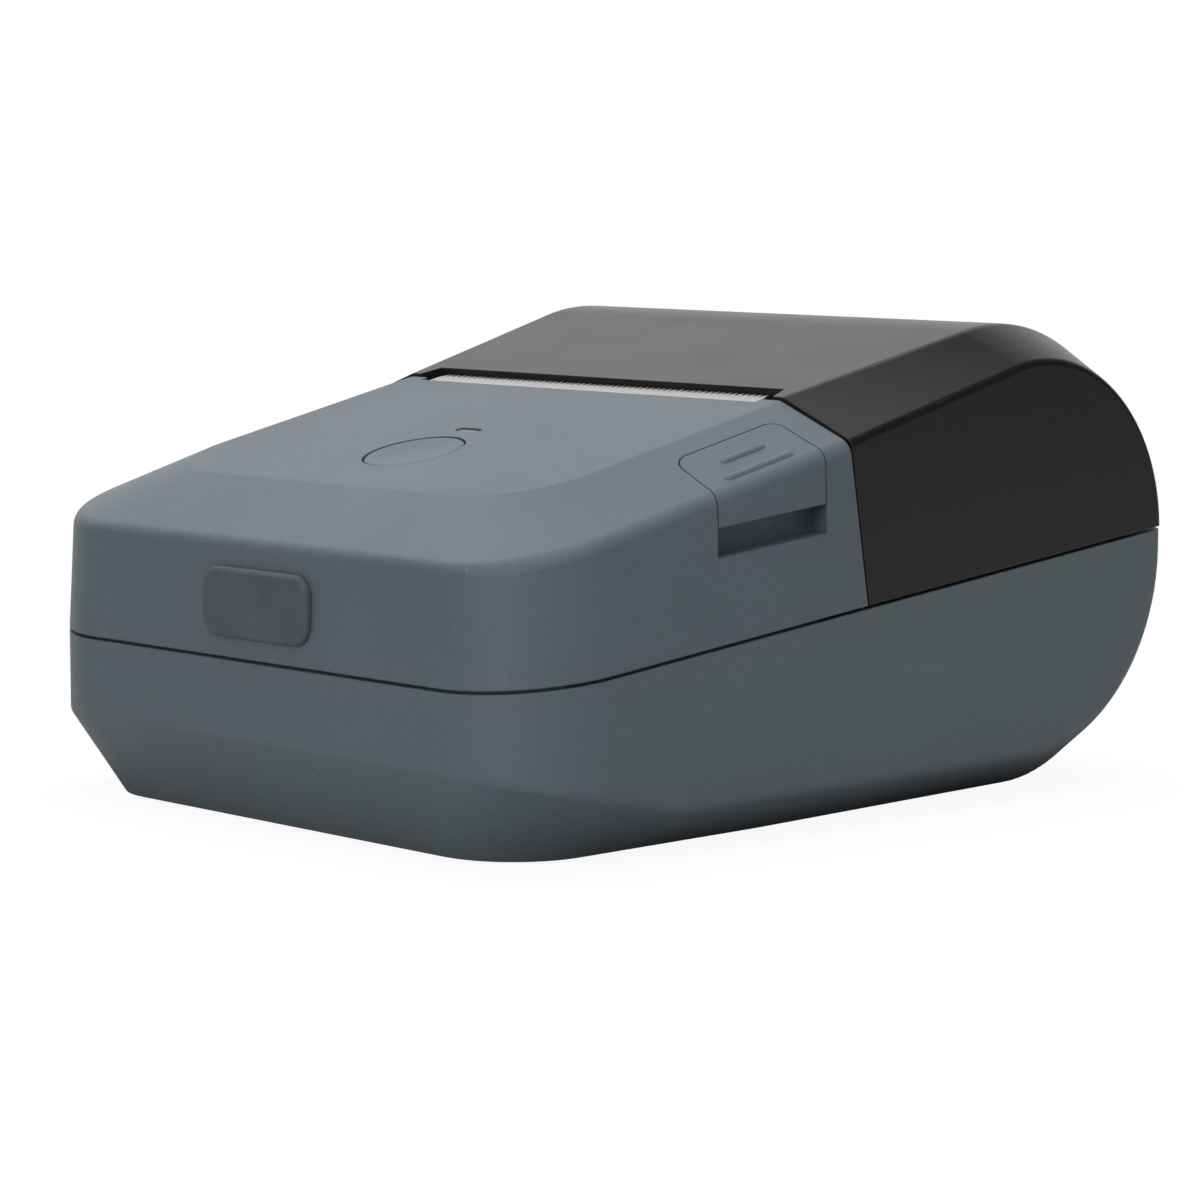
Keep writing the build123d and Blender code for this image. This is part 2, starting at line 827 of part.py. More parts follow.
def lamp_slot(margin, top):
    """A slot with round ends, from under the top wall up to a height beside its surface."""
    slot = SlotOverall(lamp_length + 2 * margin, lamp_width + 2 * margin)
    return extrude(Pos(0, 0, -lamp_depth) * slot, amount=lamp_depth + top)


def cutter_plane():
    return Plane(origin=(0, cutter_front, top_height(cutter_front)), x_dir=(1, 0, 0), z_dir=top_normal)


def cutter_seat():
    """Rebate along the upper casing's rear edge for the cutter strip."""
    end = cutter_half + cutter_end_room
    return cutter_plane() * box((-end, end), (0, 2 * slop), (-cutter_sunk - cutter_thickness, slop))


def cutter_shelf():
    """Shelf that carries the strip behind the upper casing's edge."""
    end = cutter_half + cutter_end_room
    top = -cutter_sunk - cutter_thickness
    run = (-slop / 2, shelf_back - cutter_front)
    return cutter_plane() * box((-end, end), run, (top - shelf_thickness, top))


def tear_bar():
    """A steel strip with a row of teeth along its rear edge."""
    depth = cutter_back - cutter_front
    count = int(2 * cutter_half / tooth_pitch)
    start = -count * tooth_pitch / 2
    outline = [(-cutter_half, 0), (-cutter_half, depth - tooth_root), (start, depth)]
    for k in range(count):
        outline.append((start + (k + 0.5) * tooth_pitch, depth + tooth_depth))
        outline.append((start + (k + 1) * tooth_pitch, depth))
    outline += [(cutter_half, depth - tooth_root), (cutter_half, 0)]
    strip = extrude(Pos(0, 0, -cutter_sunk - cutter_thickness) * make_face(Polyline(*outline, close=True)),
                    amount=cutter_thickness)
    return cutter_plane() * strip


def power_button():
    """A round cap with a shallow dish, a flange that keeps it in and a stem over the switch."""
    hang = (Align.CENTER, Align.CENTER, Align.MAX)
    cap = Pos(0, 0, -button_sunk) * Cylinder(button_radius, button_thickness, align=hang)
    rim = cap.edges().filter_by(GeomType.CIRCLE).sort_by(Axis.Z)[-1]
    cap = fillet(rim, button_round)
    ball = (button_dish_radius ** 2 + button_dish ** 2) / (2 * button_dish)
    cap -= Pos(0, 0, ball - button_sunk - button_dish) * Sphere(ball)
    flange = Cylinder(button_radius + flange_extra, flange_thickness, align=hang)
    flange = Pos(0, 0, -wall - flange_drop) * flange
    stem = Pos(0, 0, -wall) * Cylinder(stem_radius, stem_length - wall, align=hang)
    return button_plane * (cap + flange + stem)


def led_lens():
    """The lamp's lens, a little below the surface."""
    return lamp_plane * lamp_slot(0, -lamp_sunk)


def key_board():
    board = box(
        (-key_board_half, key_board_half), (key_board_low, key_board_high),
        (-key_board_depth - key_board_thickness, -key_board_depth),
    )
    for s in (-1, 1):
        board -= Pos(s * key_screw_x, key_screw_v, -key_board_depth) * Cylinder(
            small_screw_radius + small_screw_room, key_board_depth)
    return button_plane * board


def key_switch():
    """A tact switch under the button's stem, and the lamp beside it on the same board."""
    size = switch_size / 2
    floor = -key_board_depth
    top = -stem_length - button_travel - running_fit
    body = box((-size, size), (-size, size), (floor, floor + switch_body))
    plunger = Pos(0, 0, (top + floor) / 2) * Cylinder(plunger_radius, top - floor)
    lamp_v = lamp_y - button_y
    half = lamp_chip / 2
    lamp = box((lamp_x - half, lamp_x + half), (lamp_v - half, lamp_v + half),
               (floor, floor + lamp_chip_height))
    return button_plane * (body + plunger + lamp)


def key_board_screws():
    def one():
        seat = -key_board_depth - key_board_thickness
        stand = (Align.CENTER, Align.CENTER, Align.MIN)
        hang = (Align.CENTER, Align.CENTER, Align.MAX)
        shank = Cylinder(small_screw_radius, small_screw_length, align=stand)
        head = Cylinder(small_head_radius, small_head_height, align=hang)
        return button_plane * Pos(key_screw_x, key_screw_v, seat) * (shank + head)
    return both_sides(one)


def port_cover():
    """A rubber flap lying on the front face, with a plug that fills the port."""
    plane = Plane(origin=(cover_x, port_face_y, port_z), x_dir=(1, 0, 0), z_dir=(0, -1, 0))
    flap = extrude(RectangleRounded(cover_width, cover_height, cover_corner), amount=cover_proud)
    rim = flap.edges().filter_by(lambda e: abs((e @ 0.5).Z - cover_proud) < 0.01)
    flap = fillet(rim, cover_round)
    plug = RectangleRounded(
        socket_width + 2 * (port_margin - plug_clearance), socket_height + 2 * (port_margin - plug_clearance),
        plug_corner,
    )
    stem = extrude(Pos(0, 0, -plug_depth) * plug, amount=plug_depth + cover_proud / 2)
    return (plane * flap) - front_upper(-cover_gap) + plane * stem


def usb_socket():
    """A charging socket on the main board, with its tongue."""
    level = board_bottom + board_thickness + socket_height / 2
    plane = Plane(origin=(cover_x, socket_face_y, level), x_dir=(1, 0, 0), z_dir=(0, 1, 0))
    can = plane * extrude(RectangleRounded(socket_width, socket_height, socket_corner), amount=socket_depth)
    mouth = RectangleRounded(
        socket_width - 2 * socket_shell, socket_height - 2 * socket_shell, socket_corner - socket_shell)
    hollow = plane * extrude(mouth, amount=socket_depth - socket_back)
    tongue = box(
        (cover_x - tongue_half, cover_x + tongue_half),
        (socket_face_y + socket_shell, socket_face_y + socket_depth),
        (level - tongue_half_height, level + tongue_half_height))
    return can - hollow + tongue


def main_board():
    board = box((-board_half, board_half), (board_front, board_back),
                (board_bottom, board_bottom + board_thickness))
    for x, y in board_spots:
        board -= post(x, y, 0, reach / 4, small_screw_radius + small_screw_room)
    for x, y in screw_spots:
        board -= post(x, y, 0, reach / 4, boss_radius + inner_gap)
    return board


def board_chips():
    """Processor, memory, radio can and motor driver on the main board."""
    top = board_bottom + board_thickness
    parts = Part()
    for x, y, wide, deep, high in chips:
        parts += box((x - wide / 2, x + wide / 2), (y - deep / 2, y + deep / 2), (top, top + high))
    return parts


def battery_pack():
    pack = box((-battery_half, battery_half), (battery_front, battery_back),
               (underside + wall, underside + wall + battery_height))
    return fillet(pack.edges().filter_by(Axis.X), battery_round)


def screw(x, y, seat, length_in, radius, head_radius, head_height, up):
    """A pan-head screw along Z; its head rests at seat and its shank runs up or down from there."""
    sign = 1 if up else -1
    shank = sorted((seat, seat + sign * length_in))
    head = sorted((seat, seat - sign * head_height))
    return post(x, y, shank[0], shank[1], radius) + post(x, y, head[0], head[1], head_radius)


def casing_screw_set():
    return Part() + [
        screw(x, y, screw_seat, split_height(y) + lip_height + screw_bite - screw_seat, screw_radius,
              screw_head_radius, screw_head_height, True)
        for x, y in screw_spots
    ]


def board_screws():
    seat = board_bottom + board_thickness
    return Part() + [
        screw(x, y, seat, small_screw_length, small_screw_radius, small_head_radius, small_head_height, False)
        for x, y in board_spots
    ]


def frame_screws():
    seat = frame_floor_z + frame_plate
    return Part() + [
        screw(x, y, seat, small_screw_length, small_screw_radius, small_head_radius, small_head_height, False)
        for x, y in frame_spots
    ]


def rubber_feet():
    return Part() + [
        post(x, y, underside - foot_proud, underside + foot_recess, foot_radius) for x, y in foot_spots
    ]


def print_frame():
    """Chassis of the print mechanism: a floor, two side plates and a wall that the head leans on."""
    floor = box((-frame_plate_x - frame_plate, frame_plate_x + frame_plate), (frame_front, frame_back),
                (frame_floor_z, frame_floor_z + frame_plate))
    high = [
        (frame_back, frame_shoulder), (frame_top_back, frame_top), (frame_top_front, frame_top),
        (frame_top_front, frame_step), (frame_step_front, frame_step - slop)]
    arm_back = idler_y + frame_arm_back
    arm = [(arm_back, idler_z - frame_arm_low), (arm_back, idler_z + frame_arm_high),
           (frame_back, idler_z + frame_arm_rise)]
    low = [(frame_front, frame_floor_z), (frame_back, frame_floor_z)]
    left = Polygon(*low, *arm, *high, align=None)
    right = Polygon(*low, *high, align=None)
    frame = floor + along_x(left, -frame_plate_x - frame_plate, -frame_plate_x)
    frame += along_x(right, frame_plate_x, frame_plate_x + frame_plate)
    frame += box((-frame_plate_x, frame_plate_x), (cross_wall_y, cross_wall_y + cross_wall),
                 (cross_wall_low, frame_top))
    frame -= rod_x(-reach, reach, rod_y, rod_z, rod_radius + running_fit)
    frame -= rod_x(-reach, reach, pivot_y, pivot_z, pivot_radius)
    frame -= rod_x(-reach, 0, idler_y, idler_z, idler_pin_radius)
    through = (-frame_plate_x - slop, -frame_plate_x + slop)
    frame -= rod_x(*through, motor_y, motor_z, motor_boss_radius + running_fit)
    for x, y in frame_spots:
        frame -= post(x, y, 0, frame_floor_z + slop, small_screw_radius + small_screw_room)
    for z in motor_screw_levels:
        frame -= rod_x(*through, motor_y, z, small_screw_radius)
    return frame


def heatsink():
    """The head's metal backing, with grooves across its front."""
    width = (-head_half, head_half)
    block = box(width, (heatsink_front, head_back - head_board_thickness), (head_low, head_high))
    for k in range(fin_count):
        z = head_low + fin_first + k * fin_pitch
        block -= box(width, (heatsink_front - slop, heatsink_front + fin_depth), (z, z + fin_groove))
    return block - rod_x(-reach, reach, pivot_y, pivot_z, pivot_radius + running_fit)


def head_board():
    end = head_half + head_board_extra
    return box((-end, end), (head_back - head_board_thickness, head_back), (head_board_low, head_board_high))


def pivot_pin():
    end = frame_plate_x + frame_plate + pin_head
    return rod_x(-end, end, pivot_y, pivot_z, pivot_radius)


def head_springs():
    """Two leaf springs between the frame's wall and the head."""
    foot = cross_wall_y + cross_wall
    near = heatsink_front - spring_strip
    profile = Polygon(
        (foot, head_spring_low), (foot, head_spring_bend), (near, head_spring_touch - spring_strip),
        (near, head_spring_touch + spring_strip), (foot + spring_strip, head_spring_top),
        (foot + 2 * spring_strip, head_spring_top), (heatsink_front, head_spring_touch + spring_strip),
        (heatsink_front, head_spring_touch - spring_strip),
        (foot + spring_strip, head_spring_bend - spring_strip), (foot + spring_strip, head_spring_low),
        align=None)
    run = (head_spring_x - head_spring_half, head_spring_x + head_spring_half)
    return both_sides(lambda: along_x(profile, *run))


def motor_body():
    """The motor's can, with the boss that centres it in the frame's plate."""
    body = rod_x(-frame_plate_x, -frame_plate_x + motor_length, motor_y, motor_z, motor_radius)
    body += rod_x(-frame_plate_x - frame_plate, -frame_plate_x, motor_y, motor_z, motor_boss_radius)
    body -= rod_x(-reach, 0, motor_y, motor_z, motor_shaft_radius + running_fit)
    for z in motor_screw_levels:
        body -= rod_x(-frame_plate_x - slop, -frame_plate_x + slop, motor_y, z, small_screw_radius)
    return body


def motor_screws():
    plate = -frame_plate_x - frame_plate
    parts = Part()
    for z in motor_screw_levels:
        parts += rod_x(plate, -frame_plate_x + motor_screw_length, motor_y, z, small_screw_radius)
        parts += rod_x(plate - motor_head_height, plate, motor_y, z, motor_screw_head)
    return parts


def motor_shaft():
    end = -frame_plate_x + motor_length - slop
    return rod_x(gear_left - shaft_end, end, motor_y, motor_z, motor_shaft_radius)


def mesh_turns():
    """Turns that put the three gears in mesh, in degrees."""
    platen = math.degrees(idler_angle)
    idler_to_platen = math.degrees(idler_angle) + 180
    idler = idler_to_platen + 180 / idler_teeth
    idler_to_motor = math.degrees(pinion_angle)
    phase = (idler_to_motor - idler) / (360 / idler_teeth)
    pinion = idler_to_motor + 180 + (phase % 1 + 0.5) * (360 / pinion_teeth)
    return platen, idler, pinion


def motor_pinion():
    turn = mesh_turns()[2]
    return gear_along_x(gear_module, pinion_teeth, turn, motor_y, motor_z, motor_shaft_radius)


def idler_gear():
    turn = mesh_turns()[1]
    return gear_along_x(gear_module, idler_teeth, turn, idler_y, idler_z, idler_pin_radius + running_fit)


def idler_pin():
    neck = gear_left - pin_gap
    pin = rod_x(neck, -frame_plate_x, idler_y, idler_z, idler_pin_radius)
    return pin + rod_x(neck - pin_head, neck, idler_y, idler_z, idler_pin_radius + pin_head_extra)


def platen_gear():
    return gear_along_x(gear_module, platen_teeth, mesh_turns()[0], platen_y, platen_z, shaft_radius)


def platen_shaft():
    return rod_x(shaft_left, shaft_right, platen_y, platen_z, shaft_radius)


def platen_roller():
    sleeve = rod_x(-platen_half, platen_half, platen_y, platen_z, platen_radius)
    return sleeve - rod_x(-reach, reach, platen_y, platen_z, shaft_radius)


def platen_bushes():
    def one():
        bush = rod_x(cheek_inner, cheek_inner + cheek_thickness, platen_y, platen_z, bush_radius)
        bush += rod_x(cheek_inner - bush_flange, cheek_inner, platen_y, platen_z, bush_flange_radius)
        return bush - rod_x(0, reach, platen_y, platen_z, shaft_radius + running_fit)
    return both_sides(one)


def liner_height(y):
    """Underside of the cover liner's plate, which follows the cover's slope."""
    return lid_inner_height(y) - liner_drop


def lid_inner_height(y):
    rise = math.hypot(1, lid_slope)
    tangent_y = length - lid_radius - lid_radius * lid_slope / rise
    tangent_z = rear_level + lid_radius / rise
    return tangent_z - lid_slope * (tangent_y - y) - wall * rise


def lid_liner():
    """Plate under the cover with two cheeks that hold the platen's bushes."""
    end = cheek_inner + cheek_thickness
    plate = Polygon(
        (liner_front, liner_height(liner_front)), (liner_back, liner_height(liner_back)),
        (liner_back, liner_height(liner_back) + liner_thickness),
        (liner_front, liner_height(liner_front) + liner_thickness), align=None)
    cheek = Polygon(
        (cheek_front, platen_z - cheek_drop), (cheek_back, platen_z - cheek_drop),
        (liner_back, liner_height(liner_back) - cheek_drop),
        (liner_back, liner_height(liner_back) + liner_thickness),
        (liner_front, liner_height(liner_front) + liner_thickness), (cheek_front, cheek_shoulder), align=None)
    part = along_x(plate, -end, end)
    part += along_x(cheek, cheek_inner, end)
    part += along_x(cheek, -end, -cheek_inner)
    part -= rod_x(-reach, reach, platen_y, platen_z, bush_radius)
    for s in (-1, 1):
        part -= post(s * lid_screw_x, lid_screw_y, 0, reach / 3, small_screw_radius + small_screw_room)
    return part


def lid_screw_seat():
    """Height at which a screw's flat head meets the sloping liner."""
    return liner_height(lid_screw_y - small_head_radius)


def lid_screws():
    parts = Part()
    for s in (-1, 1):
        parts += screw(s * lid_screw_x, lid_screw_y, lid_screw_seat(), lid_screw_length, small_screw_radius,
                       small_head_radius, small_head_height, True)
    return parts


def lid_shell():
    outer = rear_upper(0, rounded=True) - in_front_of_seam(seam_gap)
    shell = outer - rear_upper(wall)
    shell -= below(split_front + split_gap / 2, split_slope)
    slot_front = seam_y - exit_front
    notch = Polygon(
        (-exit_half - exit_slant, slot_front), (exit_half + exit_slant, slot_front),
        (exit_half, exit_back), (-exit_half, exit_back), align=None)
    shell -= extrude(Pos(0, 0, platen_z) * notch, amount=reach / 4)
    for s in (-1, 1):
        boss_low = liner_height(lid_screw_y + small_boss_radius) + liner_thickness
        boss = post(s * lid_screw_x, lid_screw_y, boss_low, reach / 3, small_boss_radius)
        shell += boss & rear_upper(wall - lid_boss_root)
        shell -= post(s * lid_screw_x, lid_screw_y, 0, lid_screw_seat() + lid_screw_length, small_screw_radius)
    tie = box((-top_rear_half_width, top_rear_half_width), (hinge_y - tie_front, hinge_y + hinge_radius),
              (hinge_z, hinge_z + tie_height))
    shell += (hinge_spindle(0) + tie) & hinge_envelope()
    for s in (-1, 1):
        middle = s * (ear_inner + ear_width / 2)
        half = ear_width / 2 + ear_clearance
        shell -= rod_x(middle - half, middle + half, hinge_y, hinge_z, hinge_radius + swing_clearance)
        shell -= box((middle - half, middle + half), (hinge_y - hinge_radius - swing_clearance, length + slop),
                     (0, hinge_z))
    shell -= rod_x(-reach, reach, hinge_y, hinge_z, hinge_pin_radius + running_fit)
    return shell


def hinge_envelope():
    """Space inside the casing's rear surface, above and below the hinge."""
    return rear_upper(0) + rear_lower(0)


def hinge_pins():
    return both_sides(
        lambda: rod_x(ear_inner - pin_tail, ear_inner + ear_width, hinge_y, hinge_z, hinge_pin_radius))


def paper_bin():
    """Trough for the label roll, with slots for the guides' stems."""
    end = bin_half + bin_wall
    trough = rod_x(-end, end, bin_y, bin_z, bin_radius + bin_wall)
    trough -= rod_x(-bin_half, bin_half, bin_y, bin_z, bin_radius)
    trough -= above_split(-bin_drop)
    trough -= box((-reach, reach), (hinge_y - 2 * hinge_radius, length), (bin_rear_top, reach))
    for side in (-1, 1):
        y_mid = rack_y - side * stem_offset
        x_out = side * (guide_rest_x + stem_clearance)
        x_in = side * (guide_rest_x - guide_travel - guide_stem - stem_clearance)
        half = guide_stem_half + stem_clearance
        trough -= box(sorted((x_out, x_in)), (y_mid - half, y_mid + half), (0, bin_z - guide_stem))
    return trough


def side_guide(side):
    """A round cheek that centres the roll, with a rack under the floor of the bin."""
    x_out = side * guide_rest_x
    x_in = side * (guide_rest_x - guide_thickness)
    plate = rod_x(min(x_out, x_in), max(x_out, x_in), bin_y, bin_z, guide_radius)
    plate &= box((-reach, reach), (-reach, reach), (-reach, guide_top))
    plate -= box((-reach, reach), (0, guide_notch_y), (guide_notch_z, reach))
    y_mid = rack_y - side * stem_offset
    stem_x = sorted((x_out, side * (guide_rest_x - guide_stem)))
    stem = box(stem_x, (y_mid - guide_stem_half, y_mid + guide_stem_half), (rack_bottom, bin_z - guide_stem))
    stem -= rod_x(-reach, reach, bin_y, bin_z, guide_radius - guide_stem_half)
    return plate + stem + guide_rack(side)


def guide_rack(side):
    """The rack bar on one side of the pinion, with its teeth towards it."""
    toward = 1 if side > 0 else -1
    pitch_y = rack_y - toward * rack_pitch_offset
    back_y = pitch_y - toward * (gear_root * rack_module + rack_back)
    root_y = pitch_y - toward * gear_root * rack_module
    bar = box(sorted((side * guide_rest_x, -side * rack_reach)), sorted((back_y, root_y)),
              (rack_bottom, rack_bottom + rack_thickness))
    pitch = math.pi * rack_module
    half_pitch = pitch / 4 - gear_backlash / 2
    slant = math.tan(math.radians(pressure_angle))
    middle = side * guide_travel / 2
    first = round(middle / pitch) - rack_teeth // 2
    teeth = Part()
    for k in range(first, first + rack_teeth):
        x = (k + 0.5) * pitch
        low = half_pitch + gear_root * rack_module * slant
        high = half_pitch - rack_module * slant
        tip_y = pitch_y + toward * rack_module
        tooth = make_face(Polyline(
            (x - low, root_y), (x - high, tip_y), (x + high, tip_y), (x + low, root_y), close=True))
        teeth += extrude(Pos(0, 0, rack_bottom) * tooth, amount=rack_thickness)
    return bar + teeth


def guide_pinion():
    """Pinion between the two racks: a gap faces each rack's middle tooth space."""
    profile = gear_profile(rack_module, guide_pinion_teeth, gear_backlash, 90)
    return extrude(Pos(0, rack_y, rack_bottom) * (profile - Circle(post_radius + running_fit)),
                   amount=rack_thickness)


def latch_button():
    """A panel cut from the bevel, with two ridges and a leg down to the latch's finger."""
    skin = front_upper(0, rounded=True) - front_upper(wall)
    leg = box((hook_right_x, window_wall_x - leg_clearance), (finger_y - leg_half, finger_y + leg_half),
              (finger_z + finger_top + leg_clearance, reach / 3))
    panel = (skin & latch_prism(0, window_top)) + (leg & front_upper(wall / 2))
    return panel + [ridge(*place) for place in rib_places]


def ridge(x, y_from, y_to):
    """A soft ridge that lies along the bevel."""
    sunk = rib_radius - rib_proud
    ends = [Vector(x, y, bevel_height(x, y) - sunk) for y in (y_from + rib_radius, y_to - rib_radius)]
    along = ends[1] - ends[0]
    bar = Cylinder(rib_radius, along.length, align=(Align.CENTER, Align.CENTER, Align.MIN))
    bar = Plane(origin=ends[0], x_dir=(1, 0, 0), z_dir=along) * bar
    return bar + [Pos(*end) * Sphere(rib_radius) for end in ends]


def hook_profile():
    """Side view of a hook: an arm back from the rod to a nose just clear of the platen's shaft."""
    nose = [(platen_y + y, platen_z + z) for y, z in hook_nose]
    low, high = [[(rod_y + y, rod_z + z) for y, z in points] for points in (hook_low, hook_high)]
    return Polygon(*low, *nose, *high, align=None)


def latch_hooks():
    """A rod across the printer with a hook at each end and a finger under the latch button."""
    part = rod_x(rod_left, rod_right, rod_y, rod_z, rod_radius)
    part += along_x(hook_profile(), hook_right_x, hook_right_x + hook_width)
    part += along_x(hook_profile(), hook_left_x, hook_left_x + hook_width)
    tip_y = finger_y - finger_reach
    finger = Polygon(
        (rod_y, rod_z - finger_root), (rod_y, rod_z + finger_root), (tip_y, finger_z + finger_top),
        (tip_y, finger_z - finger_low), align=None)
    return part + along_x(finger, hook_right_x, hook_right_x + hook_width)


def latch_spring():
    """A leaf spring from the frame's wall, bearing on the rod."""
    tip_y = rod_y - latch_spring_reach
    top = rod_z + rod_radius
    fold = 2 * spring_strip
    front = cross_wall_y - spring_strip
    profile = Polygon(
        (cross_wall_y, latch_spring_top), (cross_wall_y, latch_spring_bend), (rod_y, top),
        (tip_y, top + spring_strip), (tip_y, top + fold), (rod_y, top + spring_strip),
        (front, latch_spring_bend + spring_strip), (front, latch_spring_top), align=None)
    return along_x(profile, *latch_spring_x)


nodes = {
    "lower_shell": lower_shell,
    "upper_shell": upper_shell,
    "lid_shell": lid_shell,
    "tear_bar": tear_bar,
    "power_button": power_button,
    "led_lens": led_lens,
    "key_board": key_board,
    "key_switch": key_switch,
    "key_board_screws": key_board_screws,
    "port_cover": port_cover,
    "usb_socket": usb_socket,
    "main_board": main_board,
    "board_chips": board_chips,
    "board_screws": board_screws,
    "battery_pack": battery_pack,
    "casing_screws": casing_screw_set,
    "rubber_feet": rubber_feet,
    "print_frame": print_frame,
    "frame_screws": frame_screws,
    "head_heatsink": heatsink,
    "head_board": head_board,
    "head_pivot_pin": pivot_pin,
    "head_springs": head_springs,
    "motor_body": motor_body,
    "motor_screws": motor_screws,
    "motor_shaft": motor_shaft,
    "motor_pinion": motor_pinion,
    "idler_gear": idler_gear,
    "idler_pin": idler_pin,
    "platen_gear": platen_gear,
    "platen_shaft": platen_shaft,
    "platen_roller": platen_roller,
    "platen_bushes": platen_bushes,
    "lid_liner": lid_liner,
    "lid_screws": lid_screws,
    "hinge_pins": hinge_pins,
    "paper_bin": paper_bin,
    "guide_left": lambda: side_guide(-1),
    "guide_right": lambda: side_guide(1),
    "guide_pinion": guide_pinion,
    "latch_button": latch_button,
    "latch_hooks": latch_hooks,
    "latch_spring": latch_spring,
}

to_origin = Pos(0, -(length + port_face_y - cover_proud) / 2, foot_proud - underside)
os.makedirs("parts", exist_ok=True)
for name, make in nodes.items():
    export_step(to_origin * make(), f"parts/{name}.step")
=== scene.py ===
import bpy
import json
import math
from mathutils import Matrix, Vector

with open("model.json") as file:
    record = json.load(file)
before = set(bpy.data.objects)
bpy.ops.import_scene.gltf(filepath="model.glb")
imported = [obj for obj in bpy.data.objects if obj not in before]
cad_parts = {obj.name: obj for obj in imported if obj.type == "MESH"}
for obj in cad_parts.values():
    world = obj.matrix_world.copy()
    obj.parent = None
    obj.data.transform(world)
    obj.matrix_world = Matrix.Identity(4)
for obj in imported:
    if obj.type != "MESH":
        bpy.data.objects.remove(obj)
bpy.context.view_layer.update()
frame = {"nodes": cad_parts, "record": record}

# Camera: angles in degrees, lens and sensor in millimetres and place in metres, fitted to the casing's
# straight edges in the photograph
CAMERA_AZIMUTH = 46.79
CAMERA_ELEVATION = 6.59
CAMERA_LENS = 118.9
CAMERA_SENSOR = 36.0
CAMERA_PLACE = Vector((0.41847, -0.394475, 0.0932))
CAMERA_NEAREST = 0.01

# The lit backdrop stands behind the object as the camera sees it; the rest of the studio is dimmer
BACKDROP = Vector((-0.77, 0.60, 0.22)).normalized()
BACKDROP_EDGE = 0.52
BACKDROP_CORE = 0.97
STUDIO_GLOSS = 0.06
STUDIO_SOFT = 0.37

# Floor: its paint to the camera and as a bounce light. Beside the object most of its white glows by
# itself and the rest takes the shadow, and further out all of it glows.
FLOOR_RADIUS = 6.0
FLOOR_PAINT = 0.86
FLOOR_BOUNCE = 0.43
GLOW_NEAR = 0.93
SHADOW_NEAR = 0.10
SHADOW_FAR = 0.32

# Lamps: place in metres, width and power; all point close to the middle of the object
LIGHT_TARGET = (0, 0, 0.03)
TOP_SOFTBOX = ((-0.05, 0.15, 1.1), 0.9, 10.2)
LEFT_SOFTBOX = ((-0.62, -0.10, 1.0), 0.5, 2.2)
FRONT_FILL = ((0.30, -1.05, 0.46), 0.8, 3.6)
SIDE_FILL = ((0.80, -0.46, 0.85), 0.8, 2.6)

# Grain of the surfaces: sizes and reliefs in metres, and how far the roughness varies
FINE_GRAIN = 0.00024
COARSE_GRAIN = 0.0014
GRAIN_RELIEF = 0.00003
MOTTLE_SIZE = 0.03
GLOSS_PATCH = 6 * COARSE_GRAIN
GLOSS_SPREAD = 0.03
BRUSH_SIZE = 0.0006
BRUSH_RELIEF = 0.000008
BLOOM_SIZE = 0.004
PORE_SIZE = 1.4 * FINE_GRAIN
FROST_SIZE = 0.001
FROST_RELIEF = 0.00001
EDGE_ROUND = 0.00025

# Board: one cell is two blocks wide and four rows high
BOARD_CELL = 0.00625
TRACK_RELIEF = 0.00003

# A fleck is this many grains wide, and a mote of dust reaches this share of its cell
FLECK_GRAINS = 2.2
MOTE_CELL = 0.0095
MOTE_SHARE = 0.022
MOTE_COLOUR = (0.5, 0.5, 0.48, 1)


def new_material(name):
    """A new material, its node tree, and its shader, which is linked to the output."""
    material = bpy.data.materials.new(name)
    material.use_nodes = True
    tree = material.node_tree
    tree.nodes.clear()
    output = tree.nodes.new("ShaderNodeOutputMaterial")
    shader = tree.nodes.new("ShaderNodeBsdfPrincipled")
    tree.links.new(shader.outputs["BSDF"], output.inputs["Surface"])
    return material, tree, shader


def object_space(tree, scale=(1, 1, 1)):
    """Coordinates in metres on the piece itself, so that grain keeps its real size."""
    coordinates = tree.nodes.new("ShaderNodeTexCoord")
    mapping = tree.nodes.new("ShaderNodeMapping")
    mapping.inputs["Scale"].default_value = scale
    tree.links.new(coordinates.outputs["Object"], mapping.inputs["Vector"])
    return mapping.outputs["Vector"]


def math_node(tree, operation, *values):
    """One sum on numbers or sockets."""
    node = tree.nodes.new("ShaderNodeMath")
    node.operation = operation
    for socket, value in zip(node.inputs, values):
        if isinstance(value, (int, float)):
            socket.default_value = value
        else:
            tree.links.new(value, socket)
    return node.outputs["Value"]


def noise(tree, place, size, detail=2.0, roughness=0.5):
    """Noise from 0 to 1 with features of about one size."""
    node = tree.nodes.new("ShaderNodeTexNoise")
    node.inputs["Scale"].default_value = 1 / size
    node.inputs["Detail"].default_value = detail
    node.inputs["Roughness"].default_value = roughness
    tree.links.new(place, node.inputs["Vector"])
    return node.outputs["Fac"]


def ramp(tree, value, stops):
    """A colour ramp: stops are (position, colour)."""
    node = tree.nodes.new("ShaderNodeValToRGB")
    elements = node.color_ramp.elements
    while len(elements) > len(stops):
        elements.remove(elements[-1])
    while len(elements) < len(stops):
        elements.new(1.0)
    for element, (position, colour) in zip(elements, stops):
        element.position = position
        element.color = (*colour, 1)
    tree.links.new(value, node.inputs["Fac"])
    return node.outputs["Color"]


def spread(tree, value, low, high):
    """The value stretched between two limits."""
    node = tree.nodes.new("ShaderNodeMapRange")
    node.inputs["To Min"].default_value = low
    node.inputs["To Max"].default_value = high
    tree.links.new(value, node.inputs["Value"])
    return node.outputs["Result"]


